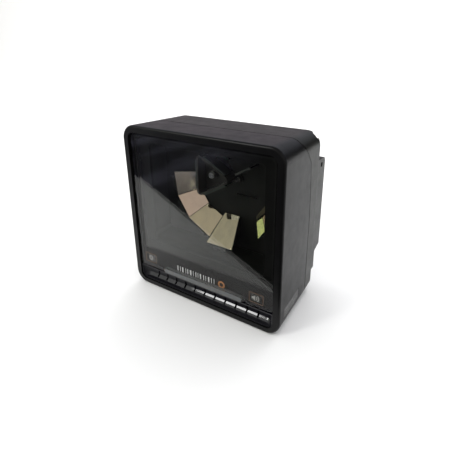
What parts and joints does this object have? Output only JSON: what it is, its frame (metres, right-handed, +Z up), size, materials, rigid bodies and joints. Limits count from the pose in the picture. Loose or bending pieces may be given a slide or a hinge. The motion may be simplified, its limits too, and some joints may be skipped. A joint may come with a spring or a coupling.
{
  "type": "flatbed barcode scanner",
  "caption": "Square counter-top laser barcode scanner with a bezelled glass window, a spinning polygon behind it, pattern mirrors, a sound trough and a stepped back.",
  "frame": {"origin": "centre of the overall box at the level of the bottom edge that the scanner stands on", "axes": "+X across the window to the right as seen from the front, -Y out of the window, +Z up"},
  "size_m": [0.15, 0.086, 0.15],
  "materials": {
    "cover_plastic": "fine satin texture",
    "housing_plastic": "fine satin texture",
    "window_glass": "polished tinted glass",
    "print_ink": "screen print behind glass",
    "foam_tape": "foam",
    "light_diffuser": "frosted light guide",
    "trough_plastic": "high gloss",
    "speaker_steel": "plated steel",
    "speaker_paper": "treated paper",
    "circuit_board": "solder mask",
    "contact_foam": "conductive foam",
    "led_lens": "clear epoxy",
    "chassis_plastic": "matte moulded",
    "pattern_mirror": "front-coated glass",
    "scan_mirror": "front-coated glass",
    "bearing_bronze": "sintered bronze",
    "turned_brass": "turned",
    "lamination_steel": "stamped",
    "coil_copper": "enamelled wire",
    "base_steel": "zinc plated",
    "screw_steel": "zinc plated",
    "lens_glass": "polished",
    "chip_plastic": "moulded epoxy",
    "capacitor_sleeve": "shrink sleeve",
    "ribbon_plastic": "flat cable",
    "socket_ivory": "moulded",
    "jack_plastic": "moulded",
    "black_screw": "black oxide",
    "label_plastic": "blank label",
    "hub_plastic": "moulded",
    "rotor_steel": "drawn steel",
    "magnet_ferrite": "sintered",
    "shaft_steel": "ground"
  },
  "bodies": {
    "housing": {"front_cover": "cover_plastic", "rear_housing": "housing_plastic", "window_glass": "window_glass", "window_print": "print_ink", "window_tape": "foam_tape", "light_bar": "light_diffuser", "speaker_grille": "trough_plastic", "speaker_frame": "speaker_steel", "speaker_cone": "speaker_paper", "speaker_magnet": "speaker_steel", "touch_board": "circuit_board", "touch_pads": "contact_foam", "status_leds": "led_lens", "optics_chassis": "chassis_plastic", "pattern_mirror_1": "pattern_mirror", "pattern_mirror_2": "pattern_mirror", "pattern_mirror_3": "pattern_mirror", "pattern_mirror_4": "pattern_mirror", "pattern_mirror_5": "pattern_mirror", "motor_bearing": "bearing_bronze", "bearing_housing": "turned_brass", "motor_stator": "lamination_steel", "motor_coils": "coil_copper", "motor_board": "circuit_board", "motor_base": "base_steel", "motor_screws": "screw_steel", "laser_barrel": "turned_brass", "laser_lens": "lens_glass", "fold_mirror": "scan_mirror", "collector_lens": "lens_glass", "detector_board": "circuit_board", "photodiode": "chip_plastic", "main_board": "circuit_board", "board_chips": "chip_plastic", "board_capacitors": "capacitor_sleeve", "ribbon_cable": "ribbon_plastic", "ribbon_sockets": "socket_ivory", "interface_jack": "jack_plastic", "auxiliary_jack": "jack_plastic", "housing_screws": "black_screw", "chassis_screws": "screw_steel", "board_screws": "screw_steel", "mount_inserts": "turned_brass", "side_label": "label_plastic", "rear_label": "label_plastic"},
    "polygon_rotor": {"polygon_hub": "hub_plastic", "polygon_mirror_1": "scan_mirror", "polygon_mirror_2": "scan_mirror", "polygon_mirror_3": "scan_mirror", "polygon_screw": "screw_steel", "rotor_cup": "rotor_steel", "rotor_magnet": "magnet_ferrite", "motor_shaft": "shaft_steel"}
  },
  "joints": [
    {"name": "polygon_spin", "type": "hinge", "parent": "housing", "child": "polygon_rotor", "pos_m": [-0.001, -0.02, 0.112], "axis": [0, 1, 0], "continuous": true}
  ]
}
